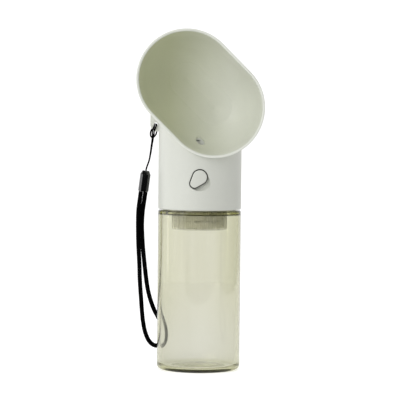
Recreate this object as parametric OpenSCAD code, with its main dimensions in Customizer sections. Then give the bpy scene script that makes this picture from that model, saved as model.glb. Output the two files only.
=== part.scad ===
// Dog travel water bottle with a drinking bowl, a push valve, a filter and a wrist lanyard.
// Millimetres. The origin is on the bottle's axis at its base, +Z is up, and the bowl faces -Y.

/* [Bottle] */
// Outer diameter of the bottle and of the head
bottle_d = 66; // [62:0.5:72]
// Height of the bottle up to its shoulder
bottle_h = 126.8; // [110:0.2:150]
// Thickness of the bottle's side wall
bottle_wall = 2.4; // [1.8:0.1:3]
// Thickness of the bottle's floor
bottle_floor = 3; // [2:0.1:4]
// Radius of the corner between wall and base
base_corner_r = 4; // [3:0.5:6]
// Radius of the shoulder's corner
shoulder_r = 1.2; // [0.8:0.1:3]
// Diameter of the pushed-up middle of the base
punt_d = 44; // [36:1:50]
// Depth of the pushed-up middle of the base
punt_depth = 2.2; // [1:0.1:4]
// Outer diameter of the neck, without its thread
neck_d = 54; // [52:0.5:55]
// Height of the neck above the shoulder
neck_h = 11.6; // [9.6:0.2:16]
// Thickness of the neck's wall
neck_wall = 1.9; // [1.5:0.1:2.4]
// Thickness of the gasket on the neck's rim
gasket_t = 1.2; // [0.8:0.1:2]

/* [Head] */
// Gap between the bottle's shoulder and the head's lower edge
head_gap = 0.8; // [0.6:0.1:2]
// Height of the head's straight wall, from its lower edge to its dome
head_h = 75.4; // [70:0.2:80]
// Thickness of the head's wall
shell_wall = 2.2; // [1.8:0.1:2.6]
// Rounding of the head's lower edge
head_edge_r = 1; // [0.5:0.1:1.6]
// Thickness of the threaded insert's deck
deck_t = 2.5; // [2:0.1:3]
// Thickness of the threaded insert's skirt
skirt_t = 1.2; // [1:0.1:1.6]
// Room for the screw thread between neck and skirt
thread_room = 1.2; // [1:0.1:1.3]
// Number of ribs that carry the turning force from head to insert
rib_count = 4; // [3:1:8]
// Width of each of these ribs
rib_w = 2.4; // [1.6:0.1:4]

/* [Bowl] */
// Half width of the bowl's mouth, inside
bowl_mouth_r = 37.6; // [34:0.1:40]
// Distance between the centres of the mouth's round ends
bowl_span = 30.6; // [24:0.2:36]
// Depth of the bowl down to the edge of its floor
bowl_depth = 38.3; // [34:0.1:40]
// Half width of the bowl's floor
bowl_floor_r = 14; // [10:0.5:16]
// Depth of the V in the bowl's floor
bowl_vee = 2.6; // [1:0.1:4]
// Half width of the flat along the bottom of that V
bowl_crease_r = 0.8; // [0.4:0.1:2]
// How much narrower the round lower wall is than the mouth
bowl_taper = 2; // [1:0.1:4]
// Thickness of the bowl's wall
bowl_wall = 1.9; // [1.5:0.1:2.4]
// Tilt of the bowl's long axis
bowl_tilt = 45; // [42:1:48]
// Height of the bowl's centre above the head's lower edge
bowl_rise = 91.9; // [90:0.1:96]
// How far the mouth stands in front of the head's wall
mouth_proud = 3.5; // [2:0.1:6]
// Rounding of the mouth's lip on each side
lip_r = 0.75; // [0.4:0.05:0.8]
// Radius of the water outlet
outlet_r = 3.7; // [2.5:0.1:4]
// Distance from the mouth back to the water outlet
outlet_setback = 26.1; // [24:0.1:29]

/* [Lanyard ear] */
// Distance from the head's wall to the ear's outer edge
ear_reach = 6.7; // [6:0.1:9]
// Radius of the ear's round lower corner
ear_r = 5.2; // [4.4:0.1:6]
// Thickness of the ear
ear_t = 3.4; // [2.5:0.1:4]
// Radius of the ear's hole
ear_hole_r = 1.6; // [1.5:0.1:2.2]
// Height of the ear's round corner above the head's lower edge
ear_rise = 66.4; // [65:0.1:68]

/* [Button] */
// Radius of the button's large end
button_r = 5.6; // [4.5:0.1:6]
// Radius of the button's small end
button_tail_r = 3.4; // [2.5:0.1:4]
// Distance between the centres of the two ends
button_reach = 6.4; // [5:0.1:7]
// Thickness of the button
button_t = 1.8; // [1.6:0.1:2.2]
// Gap between button and well, all round
button_gap = 0.9; // [0.4:0.1:1.1]
// How far the button travels when it is pressed
button_travel = 1.8; // [1:0.1:2.2]
// How far the button stands out of the head's wall
button_proud = 0.3; // [0:0.1:1]
// Radius of the button's domed face
button_dome_r = 60; // [40:1:120]
// Swing to each side of the middle between open and locked
button_swing = 40; // [30:1:45]
// Thickness of the well's walls
well_wall = 1.2; // [1:0.1:1.6]
// Height of the valve's axis above the insert's deck
valve_rise = 11.8; // [11.6:0.1:13]

/* [Valve] */
// Outer radius of the valve's housing
valve_r = 8; // [7.6:0.1:9]
// Radius of the bore behind the seat
chamber_r = 6.6; // [6:0.1:6.8]
// Length of the bore behind the seat
chamber_len = 21; // [18:0.5:24]
// Radius of the bore in front of the seat
throat_r = 4.2; // [3.8:0.1:4.6]
// Radius of the push rod
stem_r = 2.5; // [2:0.1:3]
// Radius of the rod's tip in the button
tip_r = 1.5; // [1.2:0.1:1.8]
// Radius of the poppet's seal
washer_r = 5.8; // [5.2:0.1:6]
// Thickness of the poppet's seal
washer_t = 1.5; // [1:0.1:2]
// Height of the raised lip round the seat
seat_lip = 0.6; // [0.3:0.1:1]
// Radius of the rod's seal
stem_seal_r = 4.4; // [4:0.1:5]
// Thickness of the rod's seal
stem_seal_t = 2; // [1.5:0.1:2.5]
// Radius of the water inlet
inlet_r = 3.6; // [3:0.1:3.8]
// Distance of the inlet behind the bottle's axis
inlet_back = 4; // [3:0.1:4.2]
// Wire diameter of the return spring
wire_d = 0.8; // [0.6:0.05:1]
// Mean radius of the return spring
spring_r = 4.4; // [4:0.1:5]
// Number of turns of the return spring
spring_turns = 6; // [4:1:8]
// Radius of the shank of each screw
screw_r = 1.25; // [1:0.05:1.5]
// Distance of each screw from the middle
screw_x = 13; // [12:0.1:14]
// Wall of the sleeve between valve and bowl
sleeve_wall = 1.4; // [1:0.1:1.8]
// Wall of the two spigots in the sleeve
spigot_wall = 1.2; // [1:0.1:1.5]
// Height of the spigot on the valve's housing
spigot_h = 6; // [5:0.1:7]

/* [Filter] */
// Outer diameter of the filter cup over its ribs
filter_d = 44; // [38:0.5:46]
// Height of the filter cup
filter_h = 22.8; // [18:0.2:30]
// Thickness of the cup's wall
filter_wall = 1.3; // [1:0.1:1.8]
// Height of each rib on the cup's wall
filter_rib_h = 0.6; // [0.4:0.1:0.9]
// Width of each rib on the cup's wall
filter_rib_w = 1.2; // [0.8:0.1:1.6]
// Number of ribs on the cup's wall
filter_ribs = 54; // [36:1:60]
// Rounding of the cup's lower corner
filter_corner_r = 1.5; // [1:0.1:2.5]
// Thickness of the cup's lid
lid_t = 1.8; // [1.4:0.1:2.4]
// Radius of the socket under the deck that takes the lid's spigot
socket_r = 8.6; // [8.2:0.1:10]
// Length of that socket
socket_h = 3.5; // [3:0.1:5]
// Wall of that socket
socket_wall = 1.8; // [1.4:0.1:2.4]
// Wall of the lid's spigot
lid_spigot_wall = 1.7; // [1.5:0.1:2]
// Height of the fleece at the bottom of the cup
fleece_h = 5.6; // [3:0.2:8]

/* [Lanyard] */
// Diameter of the thin string
string_d = 1.2; // [1:0.1:1.4]
// Diameter of the thick cord
cord_d = 3.5; // [3:0.1:3.6]
// Length of the crimp
crimp_len = 16.7; // [14:0.1:17]
// Width of the crimp
crimp_w = 8.3; // [7.5:0.1:9]
// Thickness of the crimp
crimp_t = 5.4; // [4.6:0.1:6.5]
// Width of the chamfer at the crimp's top
crimp_chamfer = 1.5; // [0.6:0.1:2]

/* [Clearances] */
// Gap between a running shaft and its bore, on the radius
run_gap = 0.1; // [0.05:0.01:0.1]
// Gap between two pieces that are fitted together
fit_gap = 0.1; // [0.05:0.01:0.15]
// Gap between faces that only meet
seat_gap = 0.1; // [0.05:0.01:0.2]
// Gap left at the end of a travel
stop_gap = 0.3; // [0.2:0.05:0.5]

/* [Hidden] */
$fn = 96;

// Colours
shell_colour = [0.86, 0.87, 0.84];
bottle_colour = [0.82, 0.81, 0.68, 0.45];
filter_colour = [0.80, 0.77, 0.66];
media_colour = [0.74, 0.71, 0.60];
fleece_colour = [0.86, 0.84, 0.76];
seal_colour = [0.93, 0.93, 0.90];
steel_colour = [0.72, 0.73, 0.75];
cord_colour = [0.05, 0.05, 0.05];

over = 1;                 // how far a cut runs past the face that it opens
hair = 0.02;              // how far a straight side stops inside the round end that it meets
bottle_r = bottle_d / 2;
neck_r = neck_d / 2;
neck_bore_r = neck_r - neck_wall;
neck_top = bottle_h + neck_h;

// Heights in the head
head_z = bottle_h + head_gap;
spring_line_z = head_z + head_h;
deck_z = neck_top + seat_gap + gasket_t;
deck_top = deck_z + deck_t;
valve_z = deck_top + valve_rise;
bowl_z = head_z + bowl_rise;

// Radii in the head
shell_bore_r = bottle_r - shell_wall;
deck_r = shell_bore_r - 2 * fit_gap;
skirt_bore_r = neck_r + thread_room;
skirt_r = skirt_bore_r + skirt_t;
skirt_inset = 2.7;
skirt_z = head_z + skirt_inset;
skirt_h = deck_z - skirt_z;
bead_r = skirt_r + 4 * fit_gap;
bead_h = 0.9;
ledge_w = 2;
ledge_r = deck_r - ledge_w;
ledge_h = 1.6;
rib_r = bead_r - 2 * fit_gap;
rib_inset = 1;
rib_foot_z = head_z + rib_inset;
function rib_angle(i) = 45 + 360 * i / rib_count;
punt_ball_r = (pow(punt_d / 2, 2) + pow(punt_depth, 2)) / (2 * punt_depth);

// The bowl's wall is a cone from the mouth and, below it, a ball round a centre on the end's axis.
ball_r = bowl_mouth_r - bowl_taper;
ball_depth = bowl_depth - sqrt(pow(ball_r, 2) - pow(bowl_floor_r, 2));
draft = acos(ball_r / norm([bowl_mouth_r, ball_depth])) - atan(ball_depth / bowl_mouth_r);
mouth_y = -(bottle_r + mouth_proud);
end_x = bowl_span / 2 * cos(bowl_tilt);          // the lower right end's centre
end_z = bowl_z - bowl_span / 2 * sin(bowl_tilt);

// Half width of the bowl's ball at a depth, for the inside or, with the wall, the outside
function ball_half_width(depth, wall = 0) =
    sqrt(pow(ball_r + wall, 2) - pow(depth - ball_depth, 2));
// Height of the bowl's lower wall over the valve's axis, at a depth
function wall_z(depth, wall = 0) =
    end_z - sqrt(pow(ball_half_width(depth, wall), 2) - pow(end_x, 2));

// The valve, from its front face back
button_face_y = -(bottle_r + button_proud);
button_back_y = button_face_y + button_t;
well_floor_y = button_back_y + button_travel + stop_gap;
valve_front_y = well_floor_y + well_wall + seat_gap;
gland_len = stem_seal_t + 2 * seat_gap;
guide_len = 1.5;
outlet_y = mouth_y + outlet_setback;
seat_setback = 3.2;
seat_y = outlet_y + outlet_r + seat_setback;
washer_y = seat_y + seat_lip + seat_gap;
flange_y = washer_y + washer_t;
flange_inset = 0.4;
flange_r = washer_r - flange_inset;
flange_t = 1.4;
chamber_back_y = seat_y + chamber_len;
seat_lip_w = 0.8;
plug_len = 5;
plug_flange_t = 1.5;
plug_groove_inset = 3.4;
plug_groove_y = chamber_back_y - plug_groove_inset;
plug_groove_w = 1.6;
plug_groove_depth = 1;
pin_r = spring_r - wire_d;
pin_len = 2;
tip_len = 1.1;
spring_y0 = flange_y + flange_t;
spring_y1 = chamber_back_y - plug_len;
well_r = button_r + button_gap;
well_tail_r = button_tail_r + button_gap;

// The inlet under the valve and the two screws beside it
pad_r = 6.8;
foot_h = 4;
foot_r = 3.4;
foot_bar_w = 4;
inlet_lip = 0.6;
inlet_groove_r = 5.8;
inlet_groove_h = 1.1;
screw_boss_r = 2.9;
screw_boss_h = 2.4;
screw_boss_floor = 0.8;
screw_head_r = 2.4;
screw_head_h = 1.7;
slot_w = 0.6;
slot_len = 3;
slot_depth = 0.8;
screw_z = deck_top + foot_h + 2 * seat_gap;
screw_len = screw_z - deck_z + screw_boss_h - screw_boss_floor - 4 * seat_gap;

// The sleeve between the valve's spigot and the bowl's spigot
spigot_r = outlet_r + spigot_wall;
sleeve_bore_r = spigot_r + fit_gap;
sleeve_r = sleeve_bore_r + sleeve_wall;
sleeve_overlap = 3.6;
sleeve_foot_gap = 0.6;
sleeve_foot_z = valve_z + valve_r + sleeve_foot_gap;
spigot_top_z = valve_z + valve_r + spigot_h;
spigot_gap = 1.2;
bowl_spigot_z = spigot_top_z + spigot_gap;
sleeve_top_z = bowl_spigot_z + sleeve_overlap;

// The filter, from the deck down
lid_spigot_r = socket_r - run_gap;
lid_spigot_gap = 0.4;
lid_spigot_h = socket_h - lid_spigot_gap;
filter_top_z = deck_z - socket_h - seat_gap;
case_top_z = filter_top_z - lid_t;
case_z = case_top_z - filter_h;
filter_r = filter_d / 2;
case_r = filter_r - filter_rib_h;
case_bore_r = case_r - filter_wall;
case_floor_t = 1.4;
hole_rows = [5, 10, 15];
hole_pitch = 5 / 6;       // radius of a row over its number of holes
hole_r = 1.1;
bed_r = case_bore_r - fit_gap;
media_z = case_z + case_floor_t + fleece_h + 2 * seat_gap;
lid_rim_h = 1.4;
lid_rim_w = 1;
lid_bore_r = lid_spigot_r - lid_spigot_wall;
groove_depth = 0.9;
groove_r = lid_spigot_r - groove_depth;
groove_rise = 1.1;
groove_z = filter_top_z + groove_rise;
groove_h = 1.3;

// The lanyard: its routes are in space, one point for each ring of the tube.
ear_y = 0.5;
ear_x = -(bottle_r + ear_reach - ear_r);
ear_z = head_z + ear_rise;
ear_h = 12;
ear_bevel = 2;
ear_slope = 6;
ear_hole_offset = [-0.9, 0.3];
ear_hole = [ear_x, ear_z] + ear_hole_offset;
crimp_foot = [-45, 2.2, 141];
crimp_lean = 7.2;
crimp_foot_bevel = 0.5;
crimp_chamfer_h = 3;
string_route = [
    [-42.95, 1.5, 157.7], [-42.35, 1.5, 160.4], [-41.35, 1.5, 163.2], [-40.45, 1.5, 166],
    [-39.9, 1.5, 169], [-39.45, 1.5, 172], [-39.1, 1.5, 175], [-38.75, 1.5, 178],
    [-38.35, 1.45, 181], [-38.1, 1.35, 183.6], [-38, 1.1, 185.6], [-38.1, 0.4, 187.5],
    [-38, -0.25, 189.2], [-37.5, -0.4, 191], [-36.9, -0.4, 192.4], [-36.4, -0.25, 193.5],
    [-36.1, 0.3, 194.4], [-36.05, 1.2, 194.7], [-36.05, 2.4, 194.8], [-36.1, 3.6, 194.6],
    [-36.4, 4.5, 193.9], [-37, 4.8, 192.8], [-38.3, 4.75, 190.9], [-39.3, 4.2, 189.1],
    [-39.6, 3.2, 187.5], [-39.55, 1.9, 186.1], [-39.2, 0.5, 184.9], [-38.5, -0.4, 184.2],
    [-37.6, -0.6, 184.1], [-36.7, -0.4, 184.6], [-35.9, 0.6, 185.4], [-35.35, 1.9, 186.3],
    [-34.95, 3.4, 187.3], [-34.7, 4.6, 188.7], [-34.6, 4.8, 190.3], [-34.65, 4.8, 192],
    [-34.7, 4.5, 193.4], [-34.75, 3.5, 194.3], [-34.75, 2.3, 194.5], [-34.8, 1.2, 194.3],
    [-34.95, 0.2, 193.8], [-35.3, -0.35, 192.8], [-35.8, -0.4, 191.4], [-36.35, -0.35, 190],
    [-36.7, -0.1, 188.6], [-36.75, 0.9, 187.2], [-36.95, 2.1, 185.9], [-37.15, 2.7, 184.4],
    [-37.5, 2.9, 182.6], [-37.85, 2.9, 180.4], [-38.25, 2.9, 178], [-38.7, 2.9, 175],
    [-39.15, 2.9, 172], [-39.7, 2.9, 169], [-40.35, 2.9, 166], [-41.25, 2.9, 163.2],
    [-42.25, 2.9, 160.4], [-42.85, 2.9, 157.7]];
loop_route = [
    [-46.8, 2.2, 141.1], [-47.7, 1.9, 134], [-48.6, 1.4, 126], [-48.8, 1.2, 117],
    [-48.7, 1.2, 108], [-48.4, 1.2, 99], [-47.9, 1.2, 90], [-47.4, 1.2, 81],
    [-47.1, 1.2, 72], [-46.5, 1.2, 63], [-45.8, 1.3, 54], [-45.1, 1.5, 45],
    [-44.2, 2, 37], [-42.6, 3.2, 29], [-39.9, 6, 22], [-36.1, 10.6, 17.6],
    [-32, 16, 16.6], [-29.2, 20.4, 19.5], [-28.4, 22, 25.5], [-29.6, 20.6, 32],
    [-32.4, 16.8, 39], [-35.8, 12.2, 46], [-38.6, 8.6, 54], [-40.6, 6.2, 62],
    [-41.9, 4.8, 70], [-43, 4, 79], [-44, 3.5, 88], [-44.9, 3.3, 97],
    [-45.5, 3.3, 106], [-45.8, 3.3, 115], [-45.3, 3.1, 125], [-44.1, 2.6, 134],
    [-43.2, 2.2, 140.7]];

// Lengths along a route, and tubes swept along one
function unit(v) = v / norm(v);
function heading(route, i) =
    unit(route[min(i + 1, len(route) - 1)] - route[max(i - 1, 0)]);
// Directions square to the route, each turned as little as possible from the one before
function sides_of(route, last, i = 0) =
    i == len(route) ? [] :
    let (t = heading(route, i), side = unit(last - (last * t) * t))
    concat([side], sides_of(route, side, i + 1));

module tube_along(route, r, sides, start = [0.2, 1, 0.1]) {
    side = sides_of(route, start);
    rings = len(route);
    points = [for (i = [0:rings - 1])
        let (up = cross(heading(route, i), side[i]))
        for (k = [0:sides - 1])
            route[i] + r * (cos(360 * k / sides) * side[i] + sin(360 * k / sides) * up)];
    walls = [for (i = [0:rings - 2], k = [0:sides - 1])
        let (a = i * sides + k, b = i * sides + (k + 1) % sides)
        each [[a, b + sides, b], [a, a + sides, b + sides]]];
    ends = [for (k = [1:sides - 2])
        each [[0, k, k + 1], (rings - 1) * sides * [1, 1, 1] + [0, k + 1, k]]];
    polyhedron(points, concat(walls, ends), convexity = 6);
}

// A plate from r0 to r1 and z0 to z1, as half of a turned section
module band(r0, r1, z0, z1) {
    translate([r0, z0]) square([r1 - r0, z1 - z0]);
}

// A turned block's half section, with its lower corner rounded and, if asked, its upper one
module round_block(r, z0, z1, low_r, high_r = 0) {
    band(0, r - low_r, z0, z0 + low_r);
    translate([r - low_r, z0 + low_r]) intersection() {
        circle(low_r);
        translate([0, -low_r]) square(low_r);
    }
    band(0, r, z0 + low_r, z1 - high_r);
    if (high_r > 0) {
        band(0, r - high_r, z1 - high_r, z1);
        translate([r - high_r, z1 - high_r]) intersection() {
            circle(high_r);
            square(high_r);
        }
    }
}

module ring(r0, r1, h) {
    difference() {
        cylinder(r = r1, h = h);
        translate([0, 0, -over]) cylinder(r = r0, h = h + 2 * over);
    }
}

// A solid with an obround outline, from the half section of its round ends. The ends lie on X.
module obround(span) {
    for (turn = [0, 180]) rotate([0, 0, turn]) translate([span / 2, 0, 0])
        rotate([0, 0, -90]) rotate_extrude(angle = 180) children();
    rotate([90, 0, 90]) translate([0, 0, -span / 2]) linear_extrude(span) {
        children();
        mirror([1, 0]) children();
    }
}

// Lays what was drawn round Z along Y, with its start at y and its axis at the valve's height
module along_valve(y) {
    translate([0, y, valve_z]) rotate([-90, 0, 0]) children();
}

// The small end below a round large end, with the straight sides between the two. The sides
// stop a hair inside the round ends, so that they cross them and don't only touch.
module tail(large_r, small_r, reach) {
    lean = asin((large_r - small_r) / reach);
    out = [cos(lean), -sin(lean)];
    across = [-cos(lean), -sin(lean)];
    translate([0, -reach]) circle(small_r);
    polygon([(large_r - hair) * out, [0, -reach] + (small_r - hair) * out,
        [0, -reach] + (small_r - hair) * across, (large_r - hair) * across]);
}

// The well's outline: all that the button covers as it swings, and a wall round it
module well_outline(wall = 0) {
    far_r = button_reach + well_tail_r + wall - hair;
    half_turn = button_swing - 1;
    circle(well_r + wall);
    for (side = [-1, 1]) rotate(side * button_swing)
        tail(well_r + wall, well_tail_r + wall, button_reach);
    intersection() {
        circle(far_r);
        polygon([[0, 0], 2 * far_r * [-sin(half_turn), -cos(half_turn)], [0, -4 * far_r],
            2 * far_r * [sin(half_turn), -cos(half_turn)]]);
    }
}

// Stands a drawing of the head's front upright, from y0 back to y1
module front_block(y0, y1) {
    translate([0, y1, valve_z]) rotate([90, 0, 0]) linear_extrude(y1 - y0) children();
}

// The bowl's half section: radius from the end's axis, and depth from the mouth. The cone stops
// a hair inside the ball.
module bowl_section(wall) {
    far_r = ball_r + wall;
    cone_depth = ball_depth + (far_r - hair) * sin(draft);
    floor_depth = bowl_depth + wall;
    floor_edge_r = ball_half_width(floor_depth, wall) - 2 * hair;
    polygon([[0, 0], [bowl_mouth_r + wall / cos(draft), 0],
        [(far_r - hair) * cos(draft), cone_depth], [0, cone_depth]]);
    intersection() {
        translate([0, ball_depth]) circle(far_r);
        band(0, far_r, over, floor_depth);
    }
    polygon([[0, floor_depth - hair], [floor_edge_r, floor_depth - hair],
        [bowl_crease_r, floor_depth + bowl_vee], [0, floor_depth + bowl_vee]]);
}

// Places what was drawn with the mouth on Z = 0 and the depth along +Z
module in_bowl_place() {
    translate([0, mouth_y, bowl_z]) rotate([-90, 0, 0]) rotate([0, 0, bowl_tilt]) children();
}

module bowl_outside() {
    mouth_r = bowl_mouth_r + bowl_wall / cos(draft);
    in_bowl_place() obround(bowl_span) difference() {
        bowl_section(bowl_wall);
        difference() {
            band(mouth_r - lip_r, mouth_r + over, -over, lip_r);
            translate([mouth_r - lip_r, lip_r]) circle(lip_r);
        }
    }
}

module bowl_inside() {
    in_bowl_place() obround(bowl_span) {
        bowl_section(0);
        band(0, bowl_mouth_r + lip_r, -over, 0);
        difference() {
            band(0, bowl_mouth_r + lip_r, 0, lip_r);
            translate([bowl_mouth_r + lip_r, lip_r]) circle(lip_r);
        }
    }
}

module bottle() {
    inner_r = bottle_r - bottle_wall;
    corner = base_corner_r - 1;
    color(bottle_colour) rotate_extrude() difference() {
        union() {
            round_block(bottle_r, 0, bottle_h, base_corner_r, shoulder_r);
            band(0, neck_r, bottle_h - over, neck_top);
        }
        difference() {
            union() {
                round_block(inner_r, bottle_floor, bottle_h - bottle_wall, corner, shoulder_r);
                band(0, neck_bore_r, bottle_h - bottle_wall - over, neck_top + over);
            }
            translate([0, punt_depth - punt_ball_r]) circle(punt_ball_r + bottle_floor);
        }
        intersection() {
            translate([0, punt_depth - punt_ball_r]) circle(punt_ball_r);
            band(0, punt_d / 2, -over, punt_depth + over);
        }
        band(-bottle_d, 0, -over, neck_top + 2 * over);
    }
}

module neck_gasket() {
    color(seal_colour) translate([0, 0, neck_top + seat_gap])
        ring(neck_bore_r, neck_r, gasket_t);
}

// Threaded insert: skirt, deck, socket for the filter and bosses for the screws
module inner_cap() {
    color(shell_colour) difference() {
        union() {
            rotate_extrude() {
                band(0, deck_r, deck_z, deck_top);
                band(skirt_bore_r, skirt_r, deck_z - skirt_h, deck_z);
                band(socket_r, socket_r + socket_wall, deck_z - socket_h, deck_z);
            }
            for (side = [-1, 1]) translate([side * screw_x, inlet_back, deck_z - screw_boss_h])
                cylinder(r = screw_boss_r, h = screw_boss_h);
        }
        translate([0, inlet_back, deck_z - over]) cylinder(r = inlet_r, h = deck_t + 2 * over);
        translate([0, inlet_back, deck_top - inlet_groove_h])
            ring(inlet_r + inlet_lip, inlet_groove_r, deck_t);
        for (side = [-1, 1])
            translate([side * screw_x, inlet_back, deck_z - screw_boss_h + screw_boss_floor])
                cylinder(r = screw_r, h = deck_t + screw_boss_h);
        for (i = [0:rib_count - 1]) rotate([0, 0, rib_angle(i)])
            translate([rib_r - 2 * fit_gap, -rib_w / 2 - fit_gap, deck_z - over])
                cube([deck_r, rib_w + 2 * fit_gap, deck_t + 2 * over]);
    }
}
module head_shell() {
    hole_z = wall_z(outlet_setback);
    color(shell_colour) {
        difference() {
            union() {
                rotate_extrude() {
                    round_block(bottle_r, head_z, spring_line_z, head_edge_r);
                    intersection() {
                        translate([0, spring_line_z]) circle(bottle_r);
                        band(0, bottle_r, spring_line_z, spring_line_z + bottle_r);
                    }
                }
                bowl_outside();
                ear();
            }
            difference() {
                head_hollow();
                bowl_outside();
                front_block(-bottle_r, well_floor_y + well_wall) well_outline(well_wall);
                translate([0, outlet_y, bowl_spigot_z]) cylinder(r = spigot_r, h = hole_z - bowl_spigot_z);
            }
            bowl_inside();
            translate([0, outlet_y, bowl_spigot_z - over])
                cylinder(r = outlet_r, h = hole_z - bowl_spigot_z + 2 * outlet_r);
            front_block(-bottle_r - over, well_floor_y) well_outline();
            along_valve(well_floor_y - over) cylinder(r = stem_r + run_gap, h = well_wall + 2 * over);
        }
        for (i = [0:rib_count - 1]) rotate([0, 0, rib_angle(i)])
            translate([rib_r, -rib_w / 2, rib_foot_z])
                cube([bottle_r - shell_wall / 2 - rib_r, rib_w, deck_top + over - rib_foot_z]);
    }
}

// The room inside the head, with the ledge over the insert's deck and the bead under it
module head_hollow() {
    rotate_extrude() {
        band(0, shell_bore_r, head_z - over, deck_z - seat_gap - bead_h);
        band(0, bead_r, deck_z - seat_gap - bead_h, deck_z - seat_gap);
        band(0, shell_bore_r, deck_z - seat_gap, deck_top + seat_gap);
        band(0, ledge_r, deck_top + seat_gap, deck_top + seat_gap + ledge_h);
        band(0, shell_bore_r, deck_top + seat_gap + ledge_h, spring_line_z);
        intersection() {
            translate([0, spring_line_z]) circle(shell_bore_r);
            band(0, shell_bore_r, spring_line_z, spring_line_z + shell_bore_r);
        }
    }
}

// The ear for the lanyard, on the left side of the head
module ear() {
    edge_x = ear_x - ear_r;
    root_x = -shell_bore_r + fit_gap;
    translate([0, ear_y + ear_t, 0]) rotate([90, 0, 0]) linear_extrude(ear_t) difference() {
        union() {
            translate([ear_x, ear_z]) circle(ear_r);
            polygon([[edge_x, ear_z], [edge_x, ear_z + ear_h - ear_bevel],
                [edge_x + ear_bevel, ear_z + ear_h], [root_x, ear_z + ear_h + ear_slope],
                [root_x, ear_z - ear_r], [ear_x, ear_z - ear_r]]);
        }
        translate(ear_hole) circle(ear_hole_r);
    }
}

// Sleeve between the valve's spigot and the bowl's spigot
module outlet_tube() {
    color(seal_colour) translate([0, outlet_y, sleeve_foot_z])
        ring(sleeve_bore_r, sleeve_r, sleeve_top_z - sleeve_foot_z);
}

module valve_body() {
    body_len = chamber_back_y - valve_front_y;
    color(filter_colour) difference() {
        union() {
            along_valve(valve_front_y) cylinder(r = valve_r, h = body_len);
            translate([0, inlet_back, deck_top + seat_gap]) cylinder(r = pad_r, h = valve_rise);
            for (side = [-1, 1]) translate([side * screw_x, inlet_back, deck_top + seat_gap])
                cylinder(r = foot_r, h = foot_h);
            translate([-screw_x, inlet_back - foot_bar_w / 2, deck_top + seat_gap])
                cube([2 * screw_x, foot_bar_w, foot_h]);
            translate([0, outlet_y, valve_z]) cylinder(r = spigot_r, h = valve_r + spigot_h);
        }
        along_valve(valve_front_y - over) cylinder(r = stem_seal_r + fit_gap, h = gland_len + over);
        along_valve(valve_front_y) cylinder(r = stem_r + run_gap, h = body_len);
        along_valve(valve_front_y + gland_len + guide_len)
            cylinder(r = throat_r, h = body_len);
        difference() {
            along_valve(seat_y) cylinder(r = chamber_r, h = chamber_len + over);
            along_valve(seat_y - over) ring(throat_r, throat_r + seat_lip_w, seat_lip + over);
        }
        translate([0, inlet_back, deck_top]) cylinder(r = inlet_r, h = valve_rise);
        translate([0, outlet_y, valve_z]) cylinder(r = outlet_r, h = valve_r + spigot_h + over);
        for (side = [-1, 1]) translate([side * screw_x, inlet_back, deck_top])
            cylinder(r = screw_r + fit_gap, h = foot_h + over);
    }
}

// Rear plug of the valve: flange, plug with a groove, and a pin that centres the spring
module valve_cover() {
    plug_r = chamber_r - fit_gap;
    color(filter_colour) along_valve(0) rotate_extrude() difference() {
        union() {
            band(0, valve_r, chamber_back_y + seat_gap, chamber_back_y + seat_gap + plug_flange_t);
            band(0, plug_r, spring_y1, chamber_back_y + seat_gap);
            band(0, pin_r, spring_y1 - pin_len, spring_y1);
        }
        band(plug_r - plug_groove_depth, plug_r + over, plug_groove_y,
            plug_groove_y + plug_groove_w);
    }
}
module cover_seal() {
    color(seal_colour) along_valve(plug_groove_y + seat_gap)
        ring(chamber_r - plug_groove_depth, chamber_r - fit_gap / 2, plug_groove_w - 2 * seat_gap);
}

// Push rod with the poppet's flange and the tip that carries the button
module valve_stem() {
    color(filter_colour) {
        along_valve(button_back_y - tip_len) cylinder(r = tip_r, h = tip_len + over);
        along_valve(button_back_y + seat_gap)
            cylinder(r = stem_r, h = spring_y0 - button_back_y - seat_gap);
        along_valve(flange_y) cylinder(r = flange_r, h = flange_t);
        along_valve(spring_y0 - over) cylinder(r = pin_r, h = pin_len + over);
    }
}

module valve_washer() {
    color(seal_colour) along_valve(washer_y)
        ring(stem_r + fit_gap / 2, washer_r, washer_t);
}

// Return spring: a coil with its first and last turn lying flat
module valve_spring() {
    steps = 16;
    y0 = spring_y0 + wire_d / 2 + seat_gap;
    y1 = spring_y1 - wire_d / 2 - seat_gap;
    end_pitch = 1.1 * wire_d;
    pitch = (y1 - y0 - 2 * end_pitch) / (spring_turns - 2);
    function coil_y(turn) =
        turn < 1 ? y0 + turn * end_pitch :
        turn > spring_turns - 1 ? y1 - (spring_turns - turn) * end_pitch :
        y0 + end_pitch + (turn - 1) * pitch;
    coil = [for (i = [0:spring_turns * steps])
        [spring_r * cos(360 * i / steps), coil_y(i / steps), valve_z + spring_r * sin(360 * i / steps)]];
    color(steel_colour) tube_along(coil, wire_d / 2, 6, [1, 0, 0]);
}

module stem_seal() {
    color(seal_colour) along_valve(valve_front_y + seat_gap)
        ring(stem_r + fit_gap / 2, stem_seal_r, stem_seal_t);
}

module inlet_seal() {
    color(seal_colour) translate([0, inlet_back, deck_top - inlet_groove_h + seat_gap])
        ring(inlet_r + inlet_lip + fit_gap, inlet_groove_r - fit_gap, inlet_groove_h - seat_gap);
}

module valve_screws() {
    color(steel_colour) for (side = [-1, 1]) translate([side * screw_x, inlet_back, screw_z])
        difference() {
            union() {
                cylinder(r = screw_head_r, h = screw_head_h);
                translate([0, 0, -screw_len])
                    cylinder(r = screw_r - fit_gap / 2, h = screw_len + over / 2);
            }
            for (turn = [0, 90]) rotate([0, 0, turn])
                translate([-slot_len / 2, -slot_w / 2, screw_head_h - slot_depth])
                    cube([slot_len, slot_w, over]);
        }
}

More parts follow.
